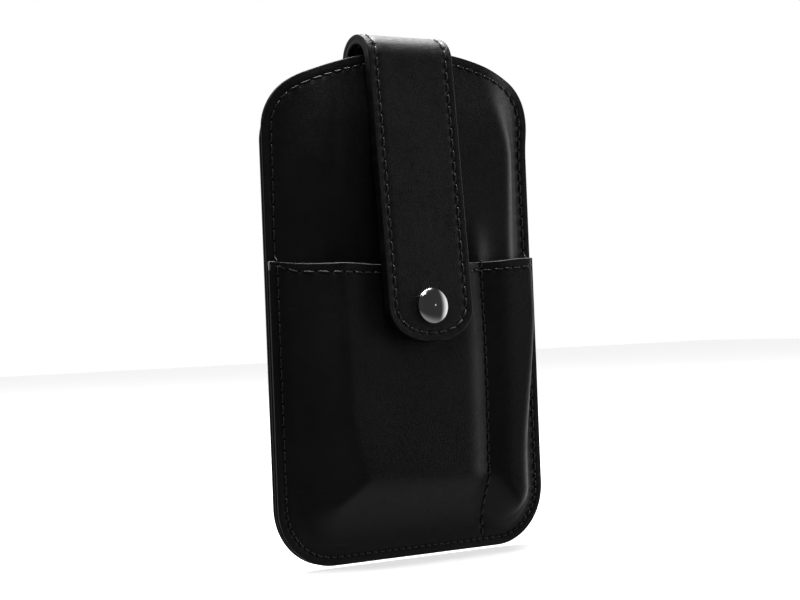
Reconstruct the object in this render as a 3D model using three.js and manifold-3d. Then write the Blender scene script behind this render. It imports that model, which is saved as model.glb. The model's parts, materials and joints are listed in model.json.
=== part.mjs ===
// A flat leather holster case with an arched mouth, a sewn front pocket with a pen slot, and a two-ply
// closing strap. The strap is one strip: sewn to the back it forms the belt loop, then it runs over the
// mouth and closes on the pocket with a press stud.
//
// Millimetres, +Z up, front towards -Y. The shapes below are laid out with the bottom edge at z = 0, the
// back panel's inner face at y = 0 and the outline centred on x = 0. The exported group then moves them,
// so that the origin is the middle of the belt passage.
import * as THREE from "three";
import { mergeVertices } from "three/addons/utils/BufferGeometryUtils.js";
import Module from "manifold-3d";

// Outline of the case
const HALF_WIDTH = 55.7;
const HEIGHT = 177.5; // top of the front panel's arch
const BACK_DROP = 4.5; // the back panel's arch is cut lower by this
const CORNER_RADIUS = 21;
const SHOULDER_Z = 149.3; // where the straight sides turn into the arch
const ARCH_SHIFT = 6; // the arch is highest a little to the right of the middle
const MOUTH_Z = 141; // the side seams end here, and the mouth begins
const SEAM_MARGIN = 3; // from the edge to the stitch line
const MOUTH_MARGIN = 3.4; // the same along the mouth
const SEAM_FLAT = 4; // width of the flat seam

// Leather and thread
const PANEL = 1.3;
const PLY = 1.6;
const FACING = 0.8;
const LAYER_GAP = 0.1;
const FIT_GAP = 0.3;
const THREAD = 0.44;
const THREAD_GAP = 0.2;
const CURVE_GAP = 0.4; // room between a curved face and what lies on it
const FACING_HALF = 40;
const FACING_WIDTH = 10;
const FACING_INSET = 0.5; // from the front panel's edge to the facing's

// How far the molded panels stand out in front of the back panel's inner face
const FRONT_SEAM = PANEL + LAYER_GAP;
const POCKET_SEAM = FRONT_SEAM + PANEL + FIT_GAP;
const FRONT_LOW = 8.3; // front panel behind the pocket
const FRONT_HIGH = 10.3; // front panel above the pocket
const FRONT_MOUTH = 7.4; // front panel's free edge, at the middle
const FLARE_LEFT = 0.4; // how far the mouth stands open at its two ends
const FLARE_RIGHT = 4;
const FLARE_RISE = [MOUTH_Z, 172];
const FLARE_TURN = [-30, 30]; // the opening changes from the left one to the right one across here
const FRONT_RISE = [102, 145]; // heights between which the front panel comes forward
const FRONT_CLOSE = [150, HEIGHT]; // and goes back towards its free edge
const POCKET_EDGE = 15; // pocket at its open edge
const POCKET_BELLY = 15.7; // pocket at its fullest
const POCKET_FOOT = 14.6; // pocket above its bottom seam
const POCKET_Z = 104.3; // height of the pocket's open edge at the sides
const POCKET_DIP = 2.3; // the open edge dips by this at the middle
const BELLY_RISE = [25, 60];
const BELLY_CLOSE = [78, POCKET_Z];

// Width of the slope between the flat seam and the flat middle, at the bottom, the sides and the mouth
const SLOPE_FOOT = 32;
const SLOPE_LEFT = 20;
const SLOPE_RIGHT = 12.5;
const SLOPE_TURN = [-20, 20]; // the left width changes to the right one across here
const SLOPE_MOUTH = 22;
const FOOT_ENDS = [14, 56];
const MOUTH_ENDS = [140, 172];
const CREASE_TOP = 7; // width of the slope beside the pen slot, sharp above and soft below
const CREASE_FOOT = 14;
const CREASE_ENDS = [30, 90];
const CREASE_TURN = [24, 38]; // the slope narrows to the crease's width across here

// Stitched line between the pocket and the pen slot
const DIVIDER_X = 25;
const DIVIDER_LEAN = 3; // it leans outwards by this at the bottom
const LEAN_ENDS = [0, 34];
const DIVIDER_SPREAD = 5; // half width of the ridge and the furrow beside it
const DIVIDER_RIDGE = 2.2;
const DIVIDER_FURROW = 2.3;
const RIDGE_FADE = [100, 122];

// Strap
const STRAP_X = -1.6;
const STRAP_HALF = 17.4;
const STRAP = 2 * PLY + LAYER_GAP;
const STRAP_BACK = PANEL + FIT_GAP; // inner face of the strap on the back panel
const CROWN_RADIUS = 8.8; // outer face over the mouth
const CROWN_Z = 173.6;
const CROWN_Y = STRAP_BACK + STRAP - CROWN_RADIUS;
const FRONT_TILT = THREE.MathUtils.degToRad(4.4); // the front run leans out over the pocket
const CROWN_PARTS = ["rear", "top", "front"];
const CROWN_STEP = (Math.PI - FRONT_TILT) / CROWN_PARTS.length;
const STRAP_END_Z = 66; // lower end of the strap on the back
const LOOP_LOW = 88; // the strap stands off the back between these heights
const LOOP_HIGH = 142;
const LOOP_SLOPE = 10;
const LOOP_DEPTH = 6; // room for the belt
const LOWER_TIE = [69, 76]; // heights of the stitched rectangles below and above the loop
const UPPER_TIE = [155, 169];
const TIP_Z = 75;
const TIP_RISE = 12; // height of the rounded tip
const TIP_FULLNESS = 2.1; // 2 is an ellipse, more is squarer
const SNAP_Z = 87.3;

// Press stud
const CAP_RADIUS = 6.25;
const CAP_HEIGHT = 2.5;
const SHANK_RADIUS = 1.6;
const POST_HOLE = SHANK_RADIUS + 0.2;
const SOCKET_RADIUS = 5;
const SOCKET_BORE = 2.9;
const SOCKET_TOP = PLY + LAYER_GAP + 0.1; // the socket lies on the lining's side of the outer ply
const SHANK_END = PLY + 1.1; // riveted end of the cap's shank
const GROOVE = [1.3, 2.1]; // the spring's groove, under the socket's top
const STUD_FLANGE = 4.6;
const STUD_TOP = SOCKET_TOP + 1.1;
const STUD_WALL = 0.7;
const SNAP_STACK = 5.25; // from the strap's outer face to the pocket's outer face
const SEAT_RADII = [6, 38]; // the pocket is pressed flat inside the first and is free outside the second
const ROUND = 24; // facets on the small turned parts

const BELT = new THREE.Vector3(STRAP_X, PANEL + LOOP_DEPTH / 2, (LOOP_LOW + LOOP_HIGH) / 2);

const wasm = await Module();
wasm.setup();

const { clamp, lerp, smoothstep, smootherstep } = THREE.MathUtils;

// Materials

function material(color, roughness, metalness = 0) {
  return new THREE.MeshStandardMaterial({ color, roughness, metalness });
}

const leather = material(0x161616, 0.5);
const flesh = material(0x1b1a19, 0.85);
const thread = material(0x1c1c1e, 0.6);
const nickel = material(0xb8b8b8, 0.15, 1);
const brass = material(0xa08850, 0.35, 1);

// Point on the strap at a depth under its outer face, at an angle over the crown from the back.
function crownPoint(angle, depth) {
  const radius = CROWN_RADIUS - depth;
  return [CROWN_Y + radius * Math.cos(angle), CROWN_Z + radius * Math.sin(angle)];
}

const [frontY, frontZ] = crownPoint(Math.PI - FRONT_TILT, 0);

// Outline and molded surfaces

// Height of the front panel's arch, made of one large arc between two shoulder arcs.
function archZ(x, inset = 0) {
  const shoulder = CORNER_RADIUS - inset;
  const centreX = HALF_WIDTH - CORNER_RADIUS;
  const top = HEIGHT - inset;
  const drop = SHOULDER_Z - top;
  const large = (shoulder ** 2 - centreX ** 2 - drop ** 2) / (2 * (drop + shoulder));
  const joinX = (centreX * large) / (large - shoulder);
  const side = Math.abs(x - ARCH_SHIFT * (1 - (x / (HALF_WIDTH - inset)) ** 2));
  if (side < joinX) return top - large + Math.sqrt(large ** 2 - side ** 2);
  return SHOULDER_Z + Math.sqrt(Math.max(0, shoulder ** 2 - (side - centreX) ** 2));
}

function bottomZ(x) {
  const over = Math.max(0, Math.abs(x) - (HALF_WIDTH - CORNER_RADIUS));
  return CORNER_RADIUS - Math.sqrt(Math.max(0, CORNER_RADIUS ** 2 - over ** 2));
}

// Distance from the sewn edge: the two sides and the bottom, with its round corners.
function edgeDistance(x, z) {
  const centreX = HALF_WIDTH - CORNER_RADIUS;
  const side = Math.abs(x);
  if (side > centreX && z < CORNER_RADIUS)
    return CORNER_RADIUS - Math.hypot(side - centreX, CORNER_RADIUS - z);
  return Math.min(HALF_WIDTH - side, z);
}

// 0 in the flat seam, rising to 1 over the slope's width.
function swell(x, z, width) {
  return smootherstep((edgeDistance(x, z) - SEAM_FLAT) / width, 0, 1);
}

// The divider's stitches run straight down and lean outwards near the bottom seam.
function dividerX(z) {
  return DIVIDER_X + DIVIDER_LEAN * (1 - smoothstep(z, ...LEAN_ENDS));
}

// The divider draws the two panels together along a narrow ridge and a narrow furrow.
function drawnIn(x, z) {
  return Math.exp(-(((x - dividerX(z)) / DIVIDER_SPREAD) ** 2));
}

function slopeWidth(x, z) {
  const side = lerp(SLOPE_LEFT, SLOPE_RIGHT, smoothstep(x, ...SLOPE_TURN));
  const low = lerp(SLOPE_FOOT, side, smoothstep(z, ...FOOT_ENDS));
  return lerp(low, SLOPE_MOUTH, smoothstep(z, ...MOUTH_ENDS));
}

// How far the strap's front run stands out at a height.
function runDepth(z) {
  return -frontY + (frontZ - z) * Math.tan(FRONT_TILT);
}

function frontDepth(x, z) {
  const risen = lerp(FRONT_LOW, FRONT_HIGH, smoothstep(z, ...FRONT_RISE));
  const middle = lerp(risen, FRONT_MOUTH, smoothstep(z, ...FRONT_CLOSE));
  const ridge = DIVIDER_RIDGE * drawnIn(x, z) * (1 - smoothstep(z, ...RIDGE_FADE));
  const flare = lerp(FLARE_LEFT, FLARE_RIGHT, smoothstep(x, ...FLARE_TURN));
  const edge = FRONT_SEAM + flare * smoothstep(z, ...FLARE_RISE);
  return lerp(edge, middle + ridge, swell(x, z, slopeWidth(x, z)));
}

// The pocket has a sharp crease beside the pen slot, and a flat seat pressed in behind the press stud.
function pocketDepth(x, z) {
  const risen = lerp(POCKET_FOOT, POCKET_BELLY, smoothstep(z, ...BELLY_RISE));
  const free = lerp(risen, POCKET_EDGE, smoothstep(z, ...BELLY_CLOSE));
  const seat = 1 - smoothstep(Math.hypot(x - STRAP_X, z - SNAP_Z), ...SEAT_RADII);
  const pressed = lerp(free, runDepth(z) - SNAP_STACK / Math.cos(FRONT_TILT), seat);
  const crease = lerp(CREASE_FOOT, CREASE_TOP, smoothstep(z, ...CREASE_ENDS));
  const slope = slopeWidth(x, z);
  const width = lerp(slope, Math.min(crease, slope), smoothstep(x, ...CREASE_TURN));
  return lerp(POCKET_SEAM, pressed - DIVIDER_FURROW * drawnIn(x, z), swell(x, z, width));
}

function pocketTopZ(x) {
  return POCKET_Z - POCKET_DIP * (1 - (x / HALF_WIDTH) ** 2);
}

// A sheet of even thickness between two heights, whose outer face stands out by depthAt(x, z).
function sheet({ halfWidth, lowZ, highZ, depthAt, thickness, columns, rows }) {
  const geometry = new THREE.BoxGeometry(2, 1, 2, columns, 1, rows);
  const position = geometry.getAttribute("position");
  for (let i = 0; i < position.count; i++) {
    const x = halfWidth * Math.sin((position.getX(i) * Math.PI) / 2);
    const share = (1 + Math.sin((position.getZ(i) * Math.PI) / 2)) / 2;
    const z = lerp(lowZ(x), highZ(x), share);
    const inner = position.getY(i) > 0 ? thickness : 0;
    position.setXYZ(i, x, inner - depthAt(x, z), z);
  }
  return geometry;
}

// Solids

function toSolid(geometry) {
  const bare = geometry.clone();
  bare.deleteAttribute("normal");
  bare.deleteAttribute("uv");
  const merged = mergeVertices(bare, 1e-4);
  return new wasm.Manifold(
    new wasm.Mesh({
      numProp: 3,
      vertProperties: merged.getAttribute("position").array,
      triVerts: new Uint32Array(merged.index.array),
    }),
  );
}

function toGeometry(solid) {
  const mesh = solid.getMesh();
  const geometry = new THREE.BufferGeometry();
  geometry.setAttribute("position", new THREE.BufferAttribute(mesh.vertProperties, 3));
  geometry.setIndex(new THREE.BufferAttribute(mesh.triVerts, 1));
  geometry.computeVertexNormals();
  return geometry;
}

// A turned part with its axis along y. The profile is [radius, y] pairs, from low y to high y outside.
function turned(profile) {
  return new THREE.LatheGeometry(
    profile.map(([radius, y]) => new THREE.Vector2(radius, y)),
    ROUND,
  );
}

// A flat plate in the x-z plane, from y = nearY back by its thickness, with optional round holes.
function plate(points, nearY, thickness, holes = []) {
  const shape = new THREE.Shape(points);
  for (const { x, z, radius } of holes)
    shape.holes.push(new THREE.Path().absarc(x, z, radius, 0, 2 * Math.PI, true));
  const options = { depth: thickness, bevelEnabled: false, curveSegments: 8 };
  const geometry = new THREE.ExtrudeGeometry(shape, options);
  geometry.rotateX(Math.PI / 2);
  geometry.translate(0, nearY + thickness, 0);
  return geometry;
}

// A strip of the strap's width, from its side profile of [y, z] points.
function strip(profile) {
  const shape = new THREE.Shape(profile.map(([y, z]) => new THREE.Vector2(y, z)));
  const options = { depth: 2 * STRAP_HALF, bevelEnabled: false };
  const geometry = new THREE.ExtrudeGeometry(shape, options);
  geometry.applyMatrix4(new THREE.Matrix4().set(0, 0, 1, 0, 1, 0, 0, 0, 0, 1, 0, 0, 0, 0, 0, 1));
  geometry.translate(STRAP_X - STRAP_HALF, 0, 0);
  return geometry;
}

// A run of thread along the points, square in section.
function threadRun(points, steps) {
  const half = THREAD / 2;
  const section = new THREE.Shape([
    new THREE.Vector2(-half, -half),
    new THREE.Vector2(half, -half),
    new THREE.Vector2(half, half),
    new THREE.Vector2(-half, half),
  ]);
  const path = new THREE.CatmullRomCurve3(points, false, "centripetal");
  return new THREE.ExtrudeGeometry(section, { steps, bevelEnabled: false, extrudePath: path });
}

function sample(count, pointAt) {
  return Array.from({ length: count + 1 }, (_, i) => pointAt(i / count));
}

const onFace = (depth) => -(depth + THREAD_GAP + THREAD / 2);

// Panels

function backPanel() {
  const count = 26;
  const across = (share) => HALF_WIDTH * Math.sin((share - 0.5) * Math.PI);
  const bottom = sample(count, (share) => [across(share), bottomZ(across(share))]);
  const arch = sample(count, (share) => [across(1 - share), archZ(across(1 - share)) - BACK_DROP]);
  return plate([...bottom, ...arch].map(([x, z]) => new THREE.Vector2(x, z)), 0, PANEL);
}

function frontPanel() {
  return sheet({
    halfWidth: HALF_WIDTH,
    lowZ: bottomZ,
    highZ: (x) => archZ(x),
    depthAt: frontDepth,
    thickness: PANEL,
    columns: 34,
    rows: 18,
  });
}

function mouthFacing() {
  return sheet({
    halfWidth: FACING_HALF,
    lowZ: (x) => archZ(x) - FACING_WIDTH,
    highZ: (x) => archZ(x) - FACING_INSET,
    depthAt: (x, z) => frontDepth(x, z) - PANEL - CURVE_GAP,
    thickness: FACING,
    columns: 20,
    rows: 3,
  });
}

function pocketPanel() {
  const panel = sheet({
    halfWidth: HALF_WIDTH,
    lowZ: bottomZ,
    highZ: pocketTopZ,
    depthAt: pocketDepth,
    thickness: PANEL,
    columns: 34,
    rows: 14,
  });
  const throughPanel = 20;
  const drill = new THREE.CylinderGeometry(POST_HOLE, POST_HOLE, throughPanel, ROUND);
  drill.applyMatrix4(snapPlace());
  return toGeometry(toSolid(panel).subtract(toSolid(drill)));
}

// Strap

function crownPly(part, outerDepth) {
  const gapAngle = FIT_GAP / 2 / CROWN_RADIUS;
  const start = part * CROWN_STEP + gapAngle;
  const end = (part + 1) * CROWN_STEP - gapAngle;
  const angleAt = (share) => lerp(start, end, share);
  const outer = sample(6, (share) => crownPoint(angleAt(share), outerDepth));
  const inner = sample(6, (share) => crownPoint(angleAt(1 - share), outerDepth + PLY));
  return strip([...outer, ...inner]);
}

// How far the belt loop's inner face stands off the back panel.
function loopOffset(z) {
  const lift = LOOP_DEPTH - FIT_GAP;
  const upper = 1 - smoothstep(z, LOOP_HIGH, LOOP_HIGH + LOOP_SLOPE);
  return lift * smoothstep(z, LOOP_LOW - LOOP_SLOPE, LOOP_LOW) * upper;
}

function rearPly(innerOffset) {
  const count = 34;
  const zAt = (share) => lerp(STRAP_END_Z, CROWN_Z - FIT_GAP / 2, share);
  const face = (offset) => (z) => [STRAP_BACK + loopOffset(z) + offset, z];
  const inner = sample(count, (share) => face(innerOffset)(zAt(share)));
  const outer = sample(count, (share) => face(innerOffset + PLY)(zAt(1 - share)));
  return strip([...inner, ...outer].reverse());
}

// The front run is laid out upright in its own group: its outer face is y = 0, its top end is z = 0.
const RUN_LENGTH = (frontZ - TIP_Z) / Math.cos(FRONT_TILT);
const SNAP_DOWN = (frontZ - SNAP_Z) / Math.cos(FRONT_TILT);

function frontRunGroup() {
  const group = new THREE.Group();
  group.position.set(STRAP_X, frontY, frontZ);
  group.rotation.x = -FRONT_TILT;
  return group;
}

// Half width of the rounded tip at a distance above its end.
function tipHalfWidth(up, inset) {
  const share = clamp((up - inset) / (TIP_RISE - inset), 0, 1);
  return (STRAP_HALF - inset) * (1 - (1 - share) ** TIP_FULLNESS) ** (1 / TIP_FULLNESS);
}

// Right edge of the front run, from the middle of its tip to its top end.
function runSide(inset) {
  const tip = sample(10, (share) => {
    const up = lerp(inset, TIP_RISE, 1 - Math.cos((share * Math.PI) / 2));
    return new THREE.Vector2(tipHalfWidth(up, inset), up - RUN_LENGTH);
  });
  return [...tip, new THREE.Vector2(STRAP_HALF - inset, -FIT_GAP / 2)];
}

function runOutline(inset) {
  const right = runSide(inset);
  const left = right.slice(1).reverse().map(({ x, y }) => new THREE.Vector2(-x, y));
  return [...left, ...right];
}

function runPly(depth, holeRadius) {
  return plate(runOutline(0), depth, PLY, [{ x: 0, z: -SNAP_DOWN, radius: holeRadius }]);
}

// Press stud, turned about y with y = 0 on the strap's outer face and +y towards the case

function snapPlace() {
  const run = frontRunGroup();
  run.updateMatrix();
  return run.matrix.clone().multiply(new THREE.Matrix4().makeTranslation(0, 0, -SNAP_DOWN));
}

function snapCap() {
  const rim = 0.5;
  const crown = sample(6, (share) => {
    const angle = (share * Math.PI) / 2;
    const rise = rim + (CAP_HEIGHT - rim) * Math.cos(angle);
    return [CAP_RADIUS * Math.sin(angle), -FIT_GAP / 2 - rise];
  });
  const under = [
    [CAP_RADIUS, -FIT_GAP / 2],
    [SHANK_RADIUS, -FIT_GAP / 2],
    [SHANK_RADIUS, SHANK_END],
    [0, SHANK_END],
  ];
  return turned([...crown, ...under]);
}

function snapSocket() {
  const depth = 2.4;
  const floor = 0.5;
  const groove = SOCKET_BORE + 0.9;
  const shankHole = SHANK_RADIUS + 0.15;
  return turned([
    [shankHole, SOCKET_TOP],
    [SOCKET_RADIUS, SOCKET_TOP],
    [SOCKET_RADIUS, SOCKET_TOP + depth],
    [SOCKET_BORE, SOCKET_TOP + depth],
    [SOCKET_BORE, SOCKET_TOP + GROOVE[1]],
    [groove, SOCKET_TOP + GROOVE[1]],
    [groove, SOCKET_TOP + GROOVE[0]],
    [SOCKET_BORE, SOCKET_TOP + GROOVE[0]],
    [SOCKET_BORE, SOCKET_TOP + floor],
    [shankHole, SOCKET_TOP + floor],
    [shankHole, SOCKET_TOP],
  ]);
}

// An open wire ring that lies in the socket's groove and grips the stud.
function snapSpring() {
  const radius = SOCKET_BORE + 0.3;
  const wireRadius = 0.25;
  const openAngle = 0.35;
  const y = SOCKET_TOP + (GROOVE[0] + GROOVE[1]) / 2;
  const points = sample(24, (share) => {
    const angle = lerp(openAngle, 2 * Math.PI - openAngle, share);
    return new THREE.Vector3(radius * Math.cos(angle), y, radius * Math.sin(angle));
  });
  const wire = new THREE.Shape().absarc(0, 0, wireRadius, 0, 2 * Math.PI);
  const path = new THREE.CatmullRomCurve3(points);
  const options = { steps: 28, bevelEnabled: false, extrudePath: path, curveSegments: 3 };
  return new THREE.ExtrudeGeometry(wire, options);
}

function snapStud() {
  const base = SNAP_STACK - FIT_GAP / 2;
  const flange = 0.5;
  const neck = 2.05;
  const bore = SHANK_RADIUS - 0.2;
  return turned([
    [0, STUD_TOP],
    [1.9, STUD_TOP],
    [2.35, STUD_TOP + 0.4],
    [neck, STUD_TOP + 1],
    [neck, base - flange - 0.1],
    [STUD_FLANGE, base - flange],
    [STUD_FLANGE, base],
    [bore, base],
    [bore, STUD_TOP + STUD_WALL],
    [0, STUD_TOP + STUD_WALL],
  ]);
}

function snapPost() {
  const inside = SNAP_STACK + PANEL + FIT_GAP;
  const top = STUD_TOP + STUD_WALL + FIT_GAP;
  const pin = SHANK_RADIUS - 0.5;
  const head = 4.2;
  const headHeight = 0.4;
  return turned([
    [0, top],
    [pin, top],
    [pin, inside],
    [head, inside],
    [head, inside + headHeight],
    [0, inside + headHeight],
  ]);
}

// Thread

// The side stitches step from the front panel onto the pocket just above the pocket's open edge.
function rimThread() {
  const sideX = (z) => HALF_WIDTH - lerp(SEAM_MARGIN, MOUTH_MARGIN, smoothstep(z, POCKET_Z, MOUTH_Z));
  const step = [POCKET_Z + 5, POCKET_Z + 2, POCKET_Z - 2];
  const left = [MOUTH_Z - 3, 125, 113, ...step, 80, 50].map((z) => [-sideX(z), z]);
  const corner = CORNER_RADIUS - SEAM_MARGIN;
  const centreX = HALF_WIDTH - CORNER_RADIUS;
  const leftCorner = sample(6, (share) => {
    const angle = (share * Math.PI) / 2;
    return [-centreX - corner * Math.cos(angle), CORNER_RADIUS - corner * Math.sin(angle)];
  });
  const half = [...left, ...leftCorner, [-15, SEAM_MARGIN]];
  const other = half.map(([x, z]) => [-x, z]).reverse();
  const points = [...half, ...other].map(([x, z]) => {
    const depth = z > POCKET_Z + 3 ? FRONT_SEAM : POCKET_SEAM;
    return new THREE.Vector3(x, onFace(depth), z);
  });
  return threadRun(points, 70);
}

function mouthThread() {
  const side = HALF_WIDTH - MOUTH_MARGIN;
  const points = sample(22, (share) => {
    const x = side * Math.sin((share - 0.5) * Math.PI);
    const z = archZ(x, MOUTH_MARGIN);
    return new THREE.Vector3(x, onFace(frontDepth(x, z) + CURVE_GAP), z);
  });
  return threadRun(points, 44);
}

function pocketEdgeThread() {
  const fromSideSeam = 5;
  const side = HALF_WIDTH - SEAM_MARGIN - fromSideSeam;
  const points = sample(32, (share) => {
    const x = side * Math.sin((share - 0.5) * Math.PI);
    const z = pocketTopZ(x) - SEAM_MARGIN;
    return new THREE.Vector3(x, onFace(pocketDepth(x, z) + CURVE_GAP), z);
  });
  return threadRun(points, 56);
}

function dividerThread() {
  const [high, low] = [97, 5];
  const footGap = 1.1;
  const footEnds = [22, 44];
  const points = sample(30, (share) => {
    const z = lerp(high, low, share);
    const x = dividerX(z);
    const gap = lerp(footGap, CURVE_GAP, smoothstep(z, ...footEnds));
    return new THREE.Vector3(x, onFace(pocketDepth(x, z) + gap), z);
  });
  return threadRun(points, 44);
}

function strapFrontThread() {
  const points = runOutline(SEAM_MARGIN).map(({ x, y }) => new THREE.Vector3(x, onFace(0), y));
  return threadRun(points, 56);
}

// A rectangle of stitching that ties the strap to the back panel, left open by a little at one corner.
function boxThread(lowZ, highZ) {
  const half = STRAP_HALF - SEAM_MARGIN;
  const y = STRAP_BACK + STRAP + THREAD_GAP + THREAD / 2;
  const corners = [
    [half, lowZ + 1],
    [half, highZ],
    [-half, highZ],
    [-half, lowZ],
    [half - 1, lowZ],
  ];
  const path = new THREE.CurvePath();
  corners.slice(1).forEach(([x, z], i) => {
    const from = new THREE.Vector3(STRAP_X + corners[i][0], y, corners[i][1]);
    path.add(new THREE.LineCurve3(from, new THREE.Vector3(STRAP_X + x, y, z)));
  });
  return threadRun(path.getSpacedPoints(16), 40);
}

// Assembly

const holster = new THREE.Group();
holster.position.copy(BELT).negate();

function add(parent, name, geometry, look) {
  const mesh = new THREE.Mesh(geometry, look);
  mesh.name = name;
  parent.add(mesh);
}

add(holster, "back_panel", backPanel(), leather);
add(holster, "front_panel", frontPanel(), leather);
add(holster, "mouth_facing", mouthFacing(), flesh);
add(holster, "pocket_panel", pocketPanel(), leather);
add(holster, "strap_rear_lining", rearPly(0), flesh);
add(holster, "strap_rear_outer", rearPly(PLY + LAYER_GAP), leather);
add(holster, "side_and_bottom_thread", rimThread(), thread);
add(holster, "mouth_thread", mouthThread(), thread);
add(holster, "pocket_edge_thread", pocketEdgeThread(), thread);
add(holster, "pocket_divider_thread", dividerThread(), thread);
add(holster, "loop_upper_thread", boxThread(...UPPER_TIE), thread);
add(holster, "loop_lower_thread", boxThread(...LOWER_TIE), thread);

CROWN_PARTS.forEach((part, i) => {
  add(holster, `strap_crown_${part}_outer`, crownPly(i, 0), leather);
  add(holster, `strap_crown_${part}_lining`, crownPly(i, PLY + LAYER_GAP), flesh);
});

const run = frontRunGroup();
holster.add(run);
add(run, "strap_front_outer", runPly(0, POST_HOLE), leather);
add(run, "strap_front_lining", runPly(PLY + LAYER_GAP, SOCKET_RADIUS + 0.3), flesh);
add(run, "strap_front_thread", strapFrontThread(), thread);

const snap = new THREE.Group();
snap.position.z = -SNAP_DOWN;
run.add(snap);
add(snap, "snap_cap", snapCap(), nickel);
add(snap, "snap_socket", snapSocket(), nickel);
add(snap, "snap_spring", snapSpring(), brass);
add(snap, "snap_stud", snapStud(), nickel);
add(snap, "snap_post", snapPost(), nickel);

export default holster;
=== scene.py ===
"""Looks for a black leather belt case: molded panels, a stitched strap, thread and a press stud.

The shapes are laid out in millimetres with the bottom edge at z = 0, the back panel's inner face at y = 0
and the outline centred on x = 0. `to_frame` moves them to the frame's place and to metres.
"""

import json
import math

import bpy
import numpy as np
from mathutils import Matrix, Vector

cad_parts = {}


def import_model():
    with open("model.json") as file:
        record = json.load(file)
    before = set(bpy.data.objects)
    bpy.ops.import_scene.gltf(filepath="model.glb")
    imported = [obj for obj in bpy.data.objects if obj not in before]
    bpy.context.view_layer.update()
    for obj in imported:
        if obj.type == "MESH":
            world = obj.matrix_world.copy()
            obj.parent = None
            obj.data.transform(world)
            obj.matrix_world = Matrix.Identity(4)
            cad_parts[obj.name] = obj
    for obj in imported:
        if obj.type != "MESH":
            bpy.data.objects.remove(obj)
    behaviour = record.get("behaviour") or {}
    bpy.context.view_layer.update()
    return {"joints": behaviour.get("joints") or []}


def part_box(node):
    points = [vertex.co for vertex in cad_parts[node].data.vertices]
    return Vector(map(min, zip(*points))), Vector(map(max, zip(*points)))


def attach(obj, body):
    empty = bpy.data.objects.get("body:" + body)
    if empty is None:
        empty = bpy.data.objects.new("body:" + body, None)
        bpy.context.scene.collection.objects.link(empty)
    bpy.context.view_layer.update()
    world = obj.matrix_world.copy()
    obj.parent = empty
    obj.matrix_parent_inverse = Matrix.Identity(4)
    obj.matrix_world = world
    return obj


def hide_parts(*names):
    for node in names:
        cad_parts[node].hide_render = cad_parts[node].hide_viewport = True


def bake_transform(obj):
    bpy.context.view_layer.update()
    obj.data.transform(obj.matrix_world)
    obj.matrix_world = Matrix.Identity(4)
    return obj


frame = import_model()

MM = 0.001


def box_mm(node):
    low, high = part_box(node)
    return np.array(low) / MM, np.array(high) / MM


# Sizes and places from the frame

back_low, back_high = box_mm("back_panel")
front_low, front_high = box_mm("front_panel")
pocket_low, pocket_high = box_mm("pocket_panel")
run_low, run_high = box_mm("strap_front_outer")
rear_low = box_mm("strap_rear_outer")[0]
facing_low, facing_high = box_mm("mouth_facing")
cap_low, cap_high = box_mm("snap_cap")

ORIGIN = np.array([(front_low[0] + front_high[0]) / 2, back_low[1], front_low[2]])
HALF_WIDTH = (front_high[0] - front_low[0]) / 2
HEIGHT = front_high[2] - front_low[2]
PANEL = back_high[1] - back_low[1]
POCKET_Z = pocket_high[2] - pocket_low[2]
STRAP_X = (run_low[0] + run_high[0]) / 2 - ORIGIN[0]
STRAP_HALF = (run_high[0] - run_low[0]) / 2
CAP_RADIUS = (cap_high[0] - cap_low[0]) / 2
FACING_HALF = (facing_high[0] - facing_low[0]) / 2
STRAP_END_Z = rear_low[2] - ORIGIN[2]


def circle_through(a, b, c):
    """Centre and radius of the circle through three points of the y-z plane."""
    matrix = 2 * np.array([b - a, c - a])
    centre = np.linalg.solve(matrix, [b @ b - a @ a, c @ c - a @ a])
    return centre, np.linalg.norm(a - centre)


# The four joints lie on the strap's outer face, at even steps over its crown.
BENDS = [np.array(joint["pos_m"][1:]) / MM - ORIGIN[1:] for joint in frame["joints"]]
CROWN, CROWN_RADIUS = circle_through(BENDS[0], BENDS[1], BENDS[3])
CROWN_ARC = math.atan2(*(BENDS[3] - CROWN)[::-1]) % (2 * math.pi)
FRONT_TILT = math.pi - CROWN_ARC

# Outline and leather, close to the CAD's
CORNER_RADIUS = 21.0
SHOULDER_Z = 149.3
ARCH_SHIFT = 6.0  # the arch's top lies this far right of the middle
BACK_DROP = 4.5  # the back panel's arch lies this much lower
MOUTH_Z = 141.0
SEAM_MARGIN = 3.0  # from the edge to the stitches
MOUTH_MARGIN = 3.4  # the same along the mouth
SEAM_FLAT = 4.0
LAYER_GAP = 0.1
FIT_GAP = 0.3
PLY = 1.6
STRAP = 2 * PLY + LAYER_GAP
FACING = 0.8
FACING_WIDTH = 10.0
FACING_INSET = 0.6
FACING_GAP = 0.15

# How far the molded panels stand out, and the heights or widths between which that changes
FRONT_SEAM = PANEL + LAYER_GAP
POCKET_SEAM = FRONT_SEAM + PANEL + FIT_GAP
FRONT_LOW = 8.3
FRONT_HIGH = 10.3
FRONT_MOUTH = 7.4
FRONT_RISE = (102, 145)
FRONT_CLOSE = (150, HEIGHT)
FLARE_LEFT = 0.4
FLARE_RIGHT = 4.0
FLARE_TURN = (-30, 30)
FLARE_RISE = (MOUTH_Z, 172)
POCKET_EDGE = 15.0
POCKET_BELLY = 15.7
POCKET_FOOT = 14.6
POCKET_DIP = 2.3
BELLY_RISE = (25, 60)
BELLY_CLOSE = (78, POCKET_Z)
UNEVEN_FRONT = 0.09
UNEVEN_POCKET = 0.1

# Width of the slope between the flat seam and the flat middle
SLOPE_FOOT = 32
SLOPE_LEFT = 20
SLOPE_RIGHT = 12.5
SLOPE_TURN = (-20, 20)
SLOPE_MOUTH = 22
FOOT_ENDS = (14, 56)
MOUTH_ENDS = (140, 172)
CREASE_FOOT = 14
CREASE_TOP = 7
CREASE_ENDS = (30, 90)
CREASE_TURN = (24, 38)

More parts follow.
